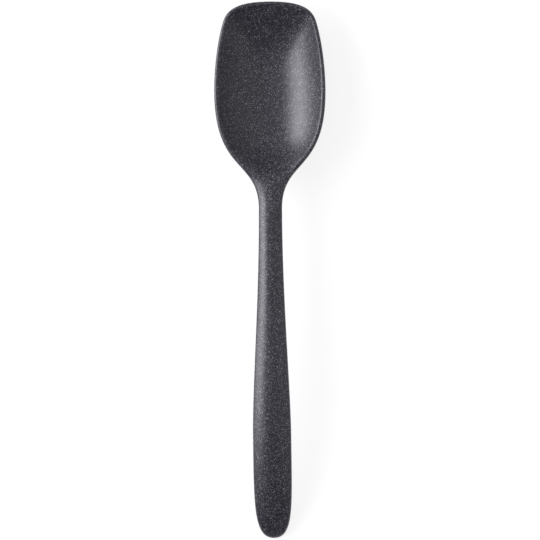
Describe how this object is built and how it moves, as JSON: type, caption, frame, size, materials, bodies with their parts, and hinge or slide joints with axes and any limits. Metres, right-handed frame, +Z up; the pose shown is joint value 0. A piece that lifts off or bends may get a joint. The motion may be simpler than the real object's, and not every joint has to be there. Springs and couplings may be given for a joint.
{
  "type": "cooking spoon",
  "caption": "One-piece moulded cooking spoon: rounded oblong bowl with a full-round rim, slim neck and an arched handle that widens to a round end.",
  "frame": {"origin": "on the table under the middle of the spoon's length, as it lies bowl up", "axes": "+Y from the handle towards the tip of the bowl, +Z up out of the open bowl, +X across"},
  "size_m": [0.054, 0.2604, 0.0202],
  "materials": {
    "melamine": "satin, dark grey with fine light speckle"
  },
  "bodies": {
    "root": {"spoon_body": "melamine"}
  },
  "joints": []
}
